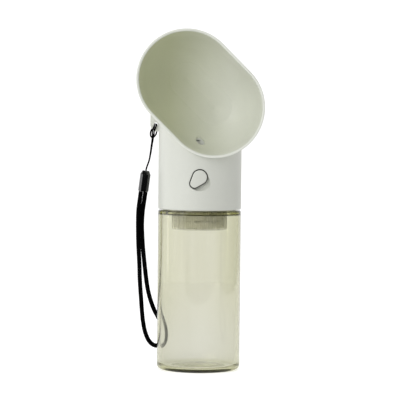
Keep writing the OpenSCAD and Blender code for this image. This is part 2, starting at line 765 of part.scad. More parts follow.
module button() {
    color(shell_colour) difference() {
        intersection() {
            union() {
                front_block(button_face_y, button_back_y) circle(button_r);
                front_block(button_face_y, button_back_y) rotate(-button_swing)
                    tail(button_r, button_tail_r, button_reach);
            }
            along_valve(0) rotate_extrude() intersection() {
                translate([0, button_face_y + button_dome_r]) circle(button_dome_r, $fn = 1440);
                band(0, 2 * button_reach, button_face_y - over, button_back_y + over);
            }
        }
        along_valve(button_back_y - tip_len - seat_gap)
            cylinder(r = tip_r + run_gap, h = tip_len + over);
    }
}

// Ribbed cup: the ribs are drawn round the wall and end in the rounded lower corner
module filter_case() {
    color(filter_colour) difference() {
        intersection() {
            translate([0, 0, case_z]) linear_extrude(filter_h) {
                circle(case_r);
                for (i = [0:filter_ribs - 1]) rotate(360 * i / filter_ribs)
                    translate([case_r - filter_wall / 2, -filter_rib_w / 2])
                        square([filter_rib_h + filter_wall / 2 + over, filter_rib_w]);
            }
            rotate_extrude() round_block(filter_r, case_z, case_top_z, filter_corner_r);
        }
        translate([0, 0, case_z + case_floor_t]) cylinder(r = case_bore_r, h = filter_h);
        for (r = hole_rows, i = [0:r / hole_pitch - 1]) rotate([0, 0, 360 * i * hole_pitch / r])
            translate([r, 0, case_z - over]) cylinder(r = hole_r, h = case_floor_t + 2 * over);
    }
}

module filter_lid() {
    spigot_top = filter_top_z + lid_spigot_h;
    color(filter_colour) rotate_extrude() difference() {
        union() {
            band(lid_bore_r, filter_r, case_top_z + seat_gap, filter_top_z);
            band(bed_r - lid_rim_w, bed_r, case_top_z - lid_rim_h, filter_top_z);
            band(lid_bore_r, lid_spigot_r, filter_top_z - lid_t / 4, spigot_top);
        }
        band(groove_r, lid_spigot_r + over, groove_z, groove_z + groove_h);
    }
}

module filter_seal() {
    color(seal_colour) translate([0, 0, groove_z + seat_gap])
        ring(groove_r + fit_gap / 2, socket_r - run_gap / 2, groove_h - 2 * seat_gap);
}

module filter_media() {
    color(media_colour) translate([0, 0, media_z])
        cylinder(r = bed_r, h = case_top_z - lid_rim_h - seat_gap - media_z);
}

module filter_fleece() {
    color(fleece_colour) translate([0, 0, case_z + case_floor_t + seat_gap])
        cylinder(r = bed_r, h = fleece_h);
}

module lanyard_string() {
    color(cord_colour) tube_along(string_route, string_d / 2, 8);
}

module lanyard_crimp() {
    half = crimp_t / 2;
    color(cord_colour) translate(crimp_foot) rotate([0, crimp_lean, 0]) obround(crimp_w - crimp_t)
        polygon([[0, 0], [half - crimp_foot_bevel, 0], [half, crimp_foot_bevel],
            [half, crimp_len - crimp_chamfer_h], [half - crimp_chamfer, crimp_len], [0, crimp_len]]);
}

module lanyard_loop() {
    color(cord_colour) tube_along(loop_route, cord_d / 2, 8);
}

bottle();
neck_gasket();
inner_cap();
head_shell();
outlet_tube();
valve_body();
valve_cover();
cover_seal();
valve_stem();
valve_washer();
valve_spring();
stem_seal();
inlet_seal();
valve_screws();
button();
filter_case();
filter_lid();
filter_media();
filter_fleece();
filter_seal();
lanyard_string();
lanyard_crimp();
lanyard_loop();
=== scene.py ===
import bpy, bmesh, math, random
from mathutils import Matrix, Vector, noise


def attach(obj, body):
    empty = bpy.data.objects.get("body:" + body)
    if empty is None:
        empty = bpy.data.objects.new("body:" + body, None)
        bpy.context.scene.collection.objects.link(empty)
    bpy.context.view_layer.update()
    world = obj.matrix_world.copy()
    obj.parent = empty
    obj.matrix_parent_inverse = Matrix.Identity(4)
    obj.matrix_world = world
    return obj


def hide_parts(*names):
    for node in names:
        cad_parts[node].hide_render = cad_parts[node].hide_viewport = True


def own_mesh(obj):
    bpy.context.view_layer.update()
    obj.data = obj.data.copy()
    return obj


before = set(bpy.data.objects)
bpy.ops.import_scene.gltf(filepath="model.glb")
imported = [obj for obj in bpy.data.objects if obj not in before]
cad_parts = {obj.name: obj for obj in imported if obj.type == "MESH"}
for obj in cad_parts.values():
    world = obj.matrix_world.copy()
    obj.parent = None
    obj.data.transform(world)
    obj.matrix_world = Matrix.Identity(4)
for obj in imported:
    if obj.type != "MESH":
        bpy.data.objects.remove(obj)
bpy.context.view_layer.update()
scene = bpy.context.scene
scene.view_settings.view_transform = "Standard"
MM = 0.001

# ---------------------------------------------------------------- camera
CAMERA_AT = Vector((0.0003, -1.8, 0.222))
AIM_AT = Vector((0.0003, 0, 0.1347))
ROLL = math.radians(0.56)
SENSOR, LENS = 36, 204     # mm
NEAR, FAR = 0.1, 20
camera = bpy.data.cameras.new("camera")
camera.sensor_width, camera.lens = SENSOR, LENS
camera.clip_start, camera.clip_end = NEAR, FAR
eye = bpy.data.objects.new("camera", camera)
scene.collection.objects.link(eye)
ahead = (AIM_AT - CAMERA_AT).normalized()
right = ahead.cross(Vector((0, 0, 1))).normalized()
up = right.cross(ahead)
right, up = right * math.cos(ROLL) + up * math.sin(ROLL), up * math.cos(ROLL) - right * math.sin(ROLL)
turn = Matrix((right, up, -ahead)).transposed().to_4x4()
eye.matrix_world = Matrix.Translation(CAMERA_AT) @ turn
scene.camera = eye


# ---------------------------------------------------------------- node helpers
class Shader:
    """A material's nodes, added one by one. An input is a number, a colour or another node's socket."""

    def __init__(self, tree):
        self.tree = tree
        tree.nodes.clear()

    def add(self, kind, out=0, inputs=None, **props):
        node = self.tree.nodes.new(kind)
        for name, value in props.items():
            setattr(node, name, value)
        for name, value in (inputs or {}).items():
            if isinstance(value, bpy.types.NodeSocket):
                self.tree.links.new(value, node.inputs[name])
            else:
                node.inputs[name].default_value = value
        return node.outputs[out] if node.outputs else node

    def math(self, operation, *values):
        return self.add("ShaderNodeMath", operation=operation, inputs=dict(enumerate(values)))

    def spread(self, value, low, high, to_low=0.0, to_high=1.0):
        names = ("Value", "From Min", "From Max", "To Min", "To Max")
        return self.add("ShaderNodeMapRange", inputs=dict(zip(names, (value, low, high, to_low, to_high))))

    def ramp(self, value, *stops):
        socket = self.add("ShaderNodeValToRGB", inputs={"Fac": value})
        band = socket.node.color_ramp
        while len(band.elements) < len(stops):
            band.elements.new(0.5)
        for element, (place, colour) in zip(band.elements, stops):
            element.position, element.color = place, (*colour, 1)
        return socket

    def place(self, scale=(1, 1, 1)):
        where = self.add("ShaderNodeTexCoord", out="Object")
        return self.add("ShaderNodeMapping", inputs={"Vector": where, "Scale": scale})

    def split(self, where):
        """The X, Y and Z of a vector."""
        parts = self.add("ShaderNodeSeparateXYZ", inputs={"Vector": where}).node
        return [parts.outputs[axis] for axis in "XYZ"]

    def axes(self, kind="Object"):
        """The X, Y and Z of a point on the object or, with Generated in the world, of a ray's direction."""
        return self.split(self.add("ShaderNodeTexCoord", out=kind))

    def multiply(self, share, colour, by):
        """A colour multiplied by another one, by a share of 0 to 1."""
        return self.add("ShaderNodeMix", out=2, data_type="RGBA", blend_type="MULTIPLY",
                        inputs={0: share, 6: colour, 7: by})

    def noise(self, scale, detail=2.0, rough=0.5, where=None, warp=0.0):
        where = where if where is not None else self.place()
        inputs = {"Vector": where, "Scale": scale, "Detail": detail, "Roughness": rough, "Distortion": warp}
        return self.add("ShaderNodeTexNoise", inputs=inputs)

    def bump(self, height, distance, strength=1.0, normal=None):
        inputs = {"Height": height, "Distance": distance, "Strength": strength}
        if normal is not None:
            inputs["Normal"] = normal
        return self.add("ShaderNodeBump", inputs=inputs)

    def surface(self, **inputs):
        names = {k.replace("_", " "): v for k, v in inputs.items()}
        shader = self.add("ShaderNodeBsdfPrincipled", inputs=names)
        self.add("ShaderNodeOutputMaterial", inputs={"Surface": shader})


def material(name):
    made = bpy.data.materials.new(name)
    made.use_nodes = True
    return made, Shader(made.node_tree)


def rgb(r, g, b):
    """A colour written as it looks on screen, 0 to 255, as the shader's own numbers."""
    levels = (r / 255, g / 255, b / 255)
    return tuple(c / 12.92 if c <= 0.04045 else ((c + 0.055) / 1.055) ** 2.4 for c in levels)


def tint(colour, share):
    return tuple(min(1.0, c * share) for c in colour)


def moulded(name, colour, rough, paint_light=None, **more):
    """Moulded plastic: a fine eroded grain and faint flow marks. A function given after the roughness, called
    with the shader and the colour, may paint light and shade onto a part of it.
    """
    made, s = material(name)
    slow = s.noise(38, 3, 0.55, s.place(FLOW))
    fine = s.noise(2600, 2, 0.6)
    mid = s.noise(420, 3, 0.6)
    shade = s.math("ADD", s.math("MULTIPLY", slow, 0.75), s.math("MULTIPLY", mid, 0.25))
    base = s.ramp(shade, (0.32, tint(colour, 1 - DRIFT)), (0.5, colour), (0.68, tint(colour, 1 + DRIFT)))
    if paint_light:
        base = paint_light(s, base)
    gloss = s.spread(s.math("ADD", slow, s.math("MULTIPLY", mid, 0.4)), 0.5, 0.9, rough - 0.05, rough + 0.06)
    normal = s.bump(s.math("ADD", s.math("MULTIPLY", fine, 0.6), s.math("MULTIPLY", mid, 0.4)), GRAIN)
    s.surface(Base_Color=base, Roughness=gloss, Normal=normal, **more)
    return made


# ---------------------------------------------------------------- materials
SHELL = rgb(224, 226, 217)
GRAIN, DRIFT, FLOW = 0.00002, 0.03, (1, 1, 0.35)   # the grain's depth, and the flow's drift of colour
RIM_PAINTED_HIGHLIGHT = (1.17, 1.17, 1.17, 1)                   # painted highlight: the rolled lip of the bowl is painted a little paler, for the light that catches it
RIM_HIGHLIGHT_FULL, RIM_HIGHLIGHT_GONE = 0.4 * MM, 1.4 * MM            # how far behind the mouth this starts to fade and ends
# Painted shade: the bowl's inside is painted olive and darker towards its left, the side in shadow; stops as
# shares across the bowl.
BOWL_PAINTED_SHADE = ((0.15, (0.79, 0.805, 0.61)), (0.55, (0.92, 0.925, 0.84)), (0.85, (1.0, 1.0, 0.97)))
BOWL_HALF = 35 * MM                                # the painted shade runs from this far left to this far right
SHADE_NONE, SHADE_FULL = 0.9 * MM, 2.2 * MM          # how far behind the mouth the painted shade starts and reaches full
# The bowl as part.scad has it: the obround's tilt and span, the mouth's draft and the ball its wall follows.
BOWL_Z, MOUTH_Y, TILT, SPAN, MOUTH_R = 219.5 * MM, -36.5 * MM, math.radians(45), 30.6 * MM, 37.6 * MM
BALL_R, BALL_AT, CONE_END, DRAFT, HALF_WALL = 35.6 * MM, 5.57 * MM, 13.0 * MM, 0.2144, 0.95 * MM


def bowl_shade_mask(s):
    """1 on the bowl's inside and 0 elsewhere, by where a point lies against the middle of the bowl's wall:
    where the painted shade goes.
    """
    x, y, z = s.axes()
    z = s.math("SUBTRACT", z, BOWL_Z)
    x, z = s.math("MULTIPLY", x, math.cos(TILT)), s.math("MULTIPLY", z, math.sin(TILT))
    along = s.math("MAXIMUM", s.math("SUBTRACT", s.math("ABSOLUTE", s.math("SUBTRACT", x, z)), SPAN / 2), 0.0)
    beside = s.math("POWER", s.math("ADD", x, z), 2.0)
    out = s.math("SQRT", s.math("ADD", s.math("POWER", along, 2.0), beside))
    depth = s.math("SUBTRACT", y, MOUTH_Y)
    cone = s.math("SUBTRACT", MOUTH_R + HALF_WALL, s.math("MULTIPLY", depth, DRAFT))
    past = s.math("POWER", s.math("SUBTRACT", depth, BALL_AT), 2.0)
    ball = s.math("SQRT", s.math("MAXIMUM", 0.0, s.math("SUBTRACT", (BALL_R + HALF_WALL) ** 2, past)))
    low = s.math("GREATER_THAN", depth, CONE_END)
    high = s.math("SUBTRACT", 1.0, low)
    edge = s.math("ADD", s.math("MULTIPLY", cone, high), s.math("MULTIPLY", ball, low))
    return s.math("MULTIPLY", s.math("LESS_THAN", out, edge), s.spread(depth, SHADE_NONE, SHADE_FULL))


def paint_bowl_shade_and_rim_light(s, base):
    """The shell's colour with painted shade, olive and darker from right to left inside the bowl, and a
    painted highlight that makes its lip paler.
    """
    x, y, _ = s.axes()
    # Painted shade: the bowl's inside darkens to olive towards its left, the side in shadow.
    base = s.multiply(bowl_shade_mask(s), base, s.ramp(s.spread(x, -BOWL_HALF, BOWL_HALF), *BOWL_PAINTED_SHADE))
    # Painted highlight: the lip is painted paler for the light that catches the rim.
    lip = s.spread(y, MOUTH_Y + RIM_HIGHLIGHT_FULL, MOUTH_Y + RIM_HIGHLIGHT_GONE, 1.0, 0.0)
    return s.multiply(lip, base, RIM_PAINTED_HIGHLIGHT)


# The shell's material carries the bowl's painted shade and the painted highlight on its lip.
shell = moulded("shell_plastic", SHELL, 0.40, paint_bowl_shade_and_rim_light, Specular_IOR_Level=0.42)
insert = moulded("insert_plastic", tint(SHELL, 0.97), 0.48, Specular_IOR_Level=0.4)
valve_white = moulded("valve_plastic", rgb(226, 225, 216), 0.42, Specular_IOR_Level=0.42)


# The tint of the faces changes between these two heights, and, as painted shade, darkens from the first to
# the second of these distances to the side.
BASE_Z, WALL_Z, PALE_MIDDLE_X, SHADED_SIDE_X = 20 * MM, 70 * MM, 6 * MM, 28 * MM


def clear_bottle():
    """Clear tinted plastic: a light tint on its faces and the rest in its depth, so thick parts are olive.
    Its faces are painted paler in the middle and darker towards the left and right, as painted shade.
    """
    made, s = material("bottle_plastic")
    pull = s.noise(70, 2, 0.5, s.place((1, 1, 0.10)))
    haze = s.noise(900, 2, 0.5)
    x, _, z = s.axes()
    above = s.spread(z, BASE_Z, WALL_Z)
    # Painted shade: the faces darken from the middle towards the left and right sides; the pull adds real
    # streaks.
    middle = s.spread(s.math("ABSOLUTE", x), PALE_MIDDLE_X, SHADED_SIDE_X, 1.0, 0.0)
    streak_and_side_shade = s.math("ADD", s.math("MULTIPLY", middle, 0.6), s.spread(pull, 0.3, 0.7, -0.1, 0.5))
    warm = s.ramp(streak_and_side_shade, (0.0, (0.893, 0.891, 0.855)), (1.0, (0.965, 0.963, 0.975)))
    cool = s.ramp(streak_and_side_shade, (0.0, (0.905, 0.905, 0.925)), (1.0, (0.935, 0.935, 0.965)))
    shade = s.add("ShaderNodeMix", out=2, data_type="RGBA", inputs={0: above, 6: cool, 7: warm})
    shader = s.add("ShaderNodeBsdfPrincipled", inputs={
        "Base Color": shade, "Roughness": s.spread(haze, 0.3, 0.7, 0.02, 0.06), "IOR": 1.5,
        "Normal": s.bump(pull, 0.00005, 0.5), "Transmission Weight": 1.0})
    depth = s.add("ShaderNodeVolumeAbsorption", inputs={"Color": (0.55, 0.54, 0.08, 1), "Density": 100.0})
    # The lamps' light goes straight through the clear wall, so that what stands inside is lit by them too.
    lit = s.add("ShaderNodeLightPath", out="Is Shadow Ray")
    through = s.add("ShaderNodeBsdfTransparent", inputs={"Color": (0.95, 0.95, 0.91, 1)})
    shader = s.add("ShaderNodeMixShader", inputs={0: lit, 1: shader, 2: through})
    s.add("ShaderNodeOutputMaterial", inputs={"Surface": shader, "Volume": depth})
    return made


CASE_RIBS = 84.0     # ribs round the filter cup


def filter_plastic():
    """Translucent beige plastic with fine upright ribs, painted darker and paler rib by rib as painted shade,
    over a mottle of its own tone.
    """
    made, s = material("filter_plastic")
    mottle = s.noise(260, 3, 0.6)
    x, y, _ = s.axes()
    ribs = s.math("SINE", s.math("MULTIPLY", s.math("ARCTAN2", y, x), CASE_RIBS))
    # Painted shade along the ribs: the colour darkens and pales with each rib, over a mottle of the plastic's
    # own tone.
    rib_shade_and_mottle = s.math("ADD", s.math("MULTIPLY", ribs, 0.16), mottle)
    shade = s.ramp(rib_shade_and_mottle, (0.34, (0.66, 0.65, 0.50)), (0.5, (0.95, 0.94, 0.87)), (0.62, (1.0, 0.995, 0.96)))
    s.surface(Base_Color=shade, Roughness=s.spread(mottle, 0.3, 0.7, 0.08, 0.2), Alpha=0.3,
              Normal=s.bump(ribs, 0.00025, normal=s.bump(s.noise(700, 2), 0.00006)))
    return made


def granules():
    """Pale grains, with a shade that changes in cells of about a grain's size."""
    made, s = material("filter_granules")
    cell = s.add("ShaderNodeTexVoronoi", out="Color", inputs={"Vector": s.place(), "Scale": 520.0})
    pick = s.add("ShaderNodeSeparateColor", inputs={"Color": cell})
    shade = s.ramp(pick, (0.0, rgb(196, 190, 158)), (0.35, rgb(250, 247, 232)), (1.0, rgb(255, 254, 248)))
    s.surface(Base_Color=shade, Roughness=0.75, Normal=s.bump(s.noise(1800, 3, 0.7), 0.0003))
    return made


def fleece():
    """Off-white felted fibre."""
    made, s = material("fleece")
    fibre = s.noise(900, 4, 0.7, s.place((1, 1, 6)), 2.0)
    shade = s.ramp(fibre, (0.3, rgb(214, 210, 192)), (0.7, rgb(242, 240, 228)))
    s.surface(Base_Color=shade, Roughness=0.95, Normal=s.bump(fibre, 0.0005), Sheen_Weight=0.3)
    return made


def silicone():
    """White silicone of the seals and the outlet sleeve."""
    made, s = material("silicone")
    cloud = s.noise(300, 3, 0.5)
    shade = s.ramp(cloud, (0.3, rgb(226, 226, 220)), (0.7, rgb(238, 238, 233)))
    s.surface(Base_Color=shade, Roughness=s.spread(cloud, 0.3, 0.7, 0.45, 0.6),
              Normal=s.bump(s.noise(1500, 2), 0.00004), Subsurface_Weight=0.15, Subsurface_Scale=0.002)
    return made


def steel():
    """Drawn and coiled spring wire, and the screws."""
    made, s = material("spring_steel")
    draw = s.noise(900, 3, 0.6, s.place((1, 0.1, 1)))
    s.surface(Base_Color=s.ramp(draw, (0.3, (0.50, 0.51, 0.53)), (0.7, (0.66, 0.67, 0.69))),
              Metallic=1.0, Roughness=s.spread(draw, 0.3, 0.7, 0.22, 0.38), Normal=s.bump(draw, 0.00002))
    return made


STRING_BRAID, LOOP_BRAID = (3, 0.0011), (6, 0.0019)   # cells round the cord, and the length of one in metres


def braid(name, round_cells, cell, depth):
    """Black braided cord, painted darker in the grooves between its yarns as painted shade. U runs once round
    the cord and V along it in metres.
    """
    made, s = material(name)
    u, v, _ = s.split(s.add("ShaderNodeUVMap", uv_map="cord"))
    across = s.math("MULTIPLY", u, 2 * math.pi * round_cells)
    along = s.math("MULTIPLY", v, 2 * math.pi / cell)
    yarns = [s.math("SINE", s.math(way, across, along)) for way in ("ADD", "SUBTRACT")]
    yarn = s.math("MAXIMUM", *yarns)
    fibre = s.noise(5200, 2, 0.6)
    height = s.math("ADD", yarn, s.math("MULTIPLY", fibre, 0.5))
    # Painted shade: darker in the grooves between the yarns, lighter on their tops.
    dark, light = (0.0005, 0.0005, 0.0006), (0.0022, 0.0022, 0.0026)
    shade = s.ramp(s.spread(yarn, -0.6, 1.0), (0.0, dark), (1.0, light))
    s.surface(Base_Color=shade, Roughness=s.spread(fibre, 0.3, 0.7, 0.55, 0.75),
              Normal=s.bump(height, depth), Specular_IOR_Level=0.02)
    return made


def black_gloss():
    """Glossy black of the crimp."""
    made, s = material("black_gloss")
    wave = s.noise(160, 2, 0.5)
    s.surface(Base_Color=s.ramp(wave, (0.3, (0.001, 0.001, 0.0012)), (0.7, (0.003, 0.003, 0.0034))),
              Roughness=s.spread(wave, 0.3, 0.7, 0.08, 0.13), Normal=s.bump(s.noise(1400, 2), 0.00002),
              Specular_IOR_Level=0.5, Coat_Weight=1.0, Coat_Roughness=0.04, Coat_IOR=1.5)
    return made


def gap_shade_black():
    """A near-black lip round the button, put in the gap round it as painted shade for the shadow there."""
    made, s = material("gap_shade_black")
    cloud = s.noise(500, 2, 0.5)
    shade = s.ramp(cloud, (0.3, (0.006, 0.006, 0.006)), (0.7, (0.012, 0.012, 0.011)))
    s.surface(Base_Color=shade, Roughness=s.spread(cloud, 0.3, 0.7, 0.55, 0.7),
              Normal=s.bump(cloud, 0.00002), Specular_IOR_Level=0.2)
    return made


def neck_thread_plastic():
    """The bottle's plastic without its depth, for the thread that is fused to the neck."""
    made, s = material("thread_plastic")
    pull = s.noise(300, 2, 0.5)
    shade = s.ramp(pull, (0.3, (0.72, 0.71, 0.58)), (0.7, (0.78, 0.77, 0.66)))
    s.surface(Base_Color=shade, IOR=1.5, Roughness=s.spread(pull, 0.3, 0.7, 0.04, 0.08),
              Normal=s.bump(pull, 0.00005), Transmission_Weight=1.0)
    return made


MADE = {
    "bottle": clear_bottle(),
    "head_shell": shell, "button": shell, "inner_cap": insert,
    "valve_body": valve_white, "valve_cover": valve_white, "valve_stem": valve_white,
    "filter_case": filter_plastic(), "filter_media": granules(), "filter_fleece": fleece(),
    "neck_gasket": silicone(), "valve_spring": steel(), "lanyard_crimp": black_gloss(),
    "lanyard_string": braid("string_braid", *STRING_BRAID, 0.00008),
    "lanyard_loop": braid("cord_braid", *LOOP_BRAID, 0.00018),
}
MADE["filter_lid"] = MADE["filter_case"]
MADE["gap_shade_black"] = gap_shade_black()
MADE["neck_thread"] = neck_thread_plastic()
MADE["valve_screws"] = MADE["valve_spring"]
for seal in ("outlet_tube", "cover_seal", "valve_washer", "stem_seal", "inlet_seal", "filter_seal"):
    MADE[seal] = MADE["neck_gasket"]
for name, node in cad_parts.items():
    node.data.materials.clear()
    node.data.materials.append(MADE[name])


# ---------------------------------------------------------------- meshes
def piece(name, vertices, faces, paint, body, smooth=True, uvs=None):
    """A mesh with one material, on its body."""
    mesh = bpy.data.meshes.new(name)
    mesh.from_pydata([tuple(v) for v in vertices], [], faces)
    mesh.materials.append(paint)
    mesh.polygons.foreach_set("use_smooth", [smooth] * len(mesh.polygons))
    if uvs is not None:
        layer = mesh.uv_layers.new(name="cord")
        for polygon, corners in zip(mesh.polygons, uvs):
            for loop, uv in zip(polygon.loop_indices, corners):
                layer.data[loop].uv = uv
    mesh.update()
    thing = bpy.data.objects.new(name, mesh)
    scene.collection.objects.link(thing)
    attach(thing, body)
    return thing


def ring_faces(rows, count):
    """The faces of a closed solid made of rows of points, each joined to the next, with its ends filled."""
    faces = []
    for i in range(rows - 1):
        for k in range(count):
            n = (k + 1) % count
            faces.append((i * count + k, i * count + n, (i + 1) * count + n, (i + 1) * count + k))
    faces += [tuple(range(count - 1, -1, -1)), tuple(range((rows - 1) * count, rows * count))]
    return faces


def stack(name, rings, paint, body):
    """A closed solid from rings of points."""
    vertices = [p for ring in rings for p in ring]
    return piece(name, vertices, ring_faces(len(rings), len(rings[0])), paint, body)


def circle(radius, z, count):
    """Points round the bottle's axis."""
    angles = [2 * math.pi * k / count for k in range(count)]
    return [Vector((radius * math.cos(a), radius * math.sin(a), z)) for a in angles]


ROUTE_PARTS = 12     # straight parts between two given points, before they are made even


def smooth_route(points, step):
    """Points along a Catmull-Rom curve through the given ones, a step apart."""
    fine = []
    ends = [2 * points[0] - points[1], *points, 2 * points[-1] - points[-2]]
    for a, b, c, d in zip(ends, ends[1:], ends[2:], ends[3:]):
        for i in range(ROUTE_PARTS):
            t = i / ROUTE_PARTS
            fine.append(0.5 * (2 * b + (c - a) * t + (2 * a - 5 * b + 4 * c - d) * t * t
                               + (3 * b - a - 3 * c + d) * t ** 3))
    fine.append(points[-1].copy())
    lengths = [0.0]
    for p, q in zip(fine, fine[1:]):
        lengths.append(lengths[-1] + (q - p).length)
    count = max(2, round(lengths[-1] / step))
    even, k = [], 0
    for i in range(count + 1):
        want = lengths[-1] * i / count
        while k < len(lengths) - 2 and lengths[k + 1] < want:
            k += 1
        t = (want - lengths[k]) / max(lengths[k + 1] - lengths[k], 1e-9)
        even.append(fine[k].lerp(fine[k + 1], min(1, t)))
    return even, lengths[-1]


def tube(name, route, radius, sides, paint, body, relief=None):
    """A round tube with no twist along a route, with UVs for its braid.

    relief(u, v) says how far its surface stands out, as a share of its radius.
    """
    side = Vector((0.2, 1, 0.1))
    vertices, runs, along = [], [], 0.0
    for i, p in enumerate(route):
        heading = (route[min(i + 1, len(route) - 1)] - route[max(i - 1, 0)]).normalized()
        side = (side - heading * side.dot(heading)).normalized()
        other = heading.cross(side)
        along += (p - route[i - 1]).length if i else 0
        runs.append(along)
        for k in range(sides):
            a = 2 * math.pi * k / sides
            r = radius * (1 + (relief(k / sides, along) if relief else 0))
            vertices.append(p + (side * math.cos(a) + other * math.sin(a)) * r)
    uvs = []
    for v0, v1 in zip(runs, runs[1:]):
        for k in range(sides):
            u0, u1 = k / sides, (k + 1) / sides
            uvs.append(((u0, v0), (u1, v0), (u1, v1), (u0, v1)))
    uvs += [[(0, 0)] * sides, [(0, runs[-1])] * sides]
    return piece(name, vertices, ring_faces(len(route), sides), paint, body, uvs=uvs)


YARN_LEVEL = 0.55    # the level of a yarn's round back that lies at the cord's radius


def strands(cells, length, depth):
    """The braid's own relief: two sets of yarns that cross, as a share of the cord's radius."""
    def relief(u, v):
        a, b = 2 * math.pi * cells * u, 2 * math.pi * v / length
        return depth * (max(math.sin(a + b), math.sin(a - b)) - YARN_LEVEL)
    return relief


# ---------------------------------------------------------------- cords
# The points of both routes are part.scad's own, in mm.
STRING_ROUTE = [
    (-42.95, 1.5, 157.7), (-42.35, 1.5, 160.4), (-41.35, 1.5, 163.2), (-40.45, 1.5, 166),
    (-39.9, 1.5, 169), (-39.45, 1.5, 172), (-39.1, 1.5, 175), (-38.75, 1.5, 178),
    (-38.35, 1.45, 181), (-38.1, 1.35, 183.6), (-38, 1.1, 185.6), (-38.1, 0.4, 187.5),
    (-38, -0.25, 189.2), (-37.5, -0.4, 191), (-36.9, -0.4, 192.4), (-36.4, -0.25, 193.5),
    (-36.1, 0.3, 194.4), (-36.05, 1.2, 194.7), (-36.05, 2.4, 194.8), (-36.1, 3.6, 194.6),
    (-36.4, 4.5, 193.9), (-37, 4.8, 192.8), (-38.3, 4.75, 190.9), (-39.3, 4.2, 189.1),
    (-39.6, 3.2, 187.5), (-39.55, 1.9, 186.1), (-39.2, 0.5, 184.9), (-38.5, -0.4, 184.2),
    (-37.6, -0.6, 184.1), (-36.7, -0.4, 184.6), (-35.9, 0.6, 185.4), (-35.35, 1.9, 186.3),
    (-34.95, 3.4, 187.3), (-34.7, 4.6, 188.7), (-34.6, 4.8, 190.3), (-34.65, 4.8, 192),
    (-34.7, 4.5, 193.4), (-34.75, 3.5, 194.3), (-34.75, 2.3, 194.5), (-34.8, 1.2, 194.3),
    (-34.95, 0.2, 193.8), (-35.3, -0.35, 192.8), (-35.8, -0.4, 191.4), (-36.35, -0.35, 190),
    (-36.7, -0.1, 188.6), (-36.75, 0.9, 187.2), (-36.95, 2.1, 185.9), (-37.15, 2.7, 184.4),
    (-37.5, 2.9, 182.6), (-37.85, 2.9, 180.4), (-38.25, 2.9, 178), (-38.7, 2.9, 175),
    (-39.15, 2.9, 172), (-39.7, 2.9, 169), (-40.35, 2.9, 166), (-41.25, 2.9, 163.2),
    (-42.25, 2.9, 160.4), (-42.85, 2.9, 157.7)]
LOOP_ROUTE = [
    (-46.8, 2.2, 141.1), (-47.7, 1.9, 134), (-48.6, 1.4, 126), (-48.8, 1.2, 117),
    (-48.7, 1.2, 108), (-48.4, 1.2, 99), (-47.9, 1.2, 90), (-47.4, 1.2, 81),
    (-47.1, 1.2, 72), (-46.5, 1.2, 63), (-45.8, 1.3, 54), (-45.1, 1.5, 45),
    (-44.2, 2, 37), (-42.6, 3.2, 29), (-39.9, 6, 22), (-36.1, 10.6, 17.6),
    (-32, 16, 16.6), (-29.2, 20.4, 19.5), (-28.4, 22, 25.5), (-29.6, 20.6, 32),
    (-32.4, 16.8, 39), (-35.8, 12.2, 46), (-38.6, 8.6, 54), (-40.6, 6.2, 62),
    (-41.9, 4.8, 70), (-43, 4, 79), (-44, 3.5, 88), (-44.9, 3.3, 97),
    (-45.5, 3.3, 106), (-45.8, 3.3, 115), (-45.3, 3.1, 125), (-44.1, 2.6, 134),
    (-43.2, 2.2, 140.7)]
STRING_D, LOOP_D = 1.2 * MM, 3.5 * MM
STRING_STEP, LOOP_STEP = 0.25 * MM, 0.32 * MM

string_line, string_length = smooth_route([Vector(p) * MM for p in STRING_ROUTE], STRING_STEP)
loop_line, loop_length = smooth_route([Vector(p) * MM for p in LOOP_ROUTE], LOOP_STEP)
string = tube("string", string_line, radius=STRING_D / 2, sides=14, paint=MADE["lanyard_string"],
              body="head", relief=strands(*STRING_BRAID, 0.08))
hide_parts("lanyard_string")
loop = tube("wrist_loop", loop_line, radius=LOOP_D / 2, sides=30, paint=MADE["lanyard_loop"],
            body="head", relief=strands(*LOOP_BRAID, 0.07))
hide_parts("lanyard_loop")

# ---------------------------------------------------------------- button with a rounded edge
BUTTON_Y, BUTTON_BACK, AXIS_Z = -33.3 * MM, -31.5 * MM, 154.0 * MM   # its face, back and axis
BUTTON_R, TAIL_R, REACH = 5.6 * MM, 3.4 * MM, 6.4 * MM   # the large end, the small end and the way between
SWING = math.radians(40)                                 # the small end hangs this far to the left
DOME_R, EDGE_R = 60 * MM, 0.7 * MM                       # the crown of its face and the round of its rim
END_POINTS, EDGE_STEPS = 48, 6
# The rings on its face close round a point this far towards the small end, each at a share of the rim.
CROWN_AT, CROWN_RINGS = 0.4, (0.85, 0.68, 0.5, 0.33, 0.16, 0.05)
GAP_SHADE_ROWS = ((-31.52, 1), (-31.52, -0.55), (-31.85, -0.62), (-32.0, -0.5), (-32.0, 1))   # the painted gap shade's rows: Y and inset, in mm


def button_outline(inset):
    """The two round ends and the straight sides between them, in the head's X and Z from the axis."""
    lean = math.asin((BUTTON_R - TAIL_R) / REACH)
    cos, sin = math.cos(SWING), math.sin(SWING)
    large = (BUTTON_R - inset, -lean, math.pi + 2 * lean, 0)
    small = (TAIL_R - inset, math.pi + lean, math.pi - 2 * lean, REACH)
    points = []
    for radius, start, sweep, drop in (large, small):
        for i in range(END_POINTS):
            a = start + sweep * i / (END_POINTS - 1)
            x, z = radius * math.cos(a), radius * math.sin(a) - drop
            points.append((x * cos + z * sin, z * cos - x * sin))
    return points


def dome_y(x, z):
    """The Y of the button's crowned face."""
    return BUTTON_Y + DOME_R - math.sqrt(DOME_R ** 2 - x * x - z * z)


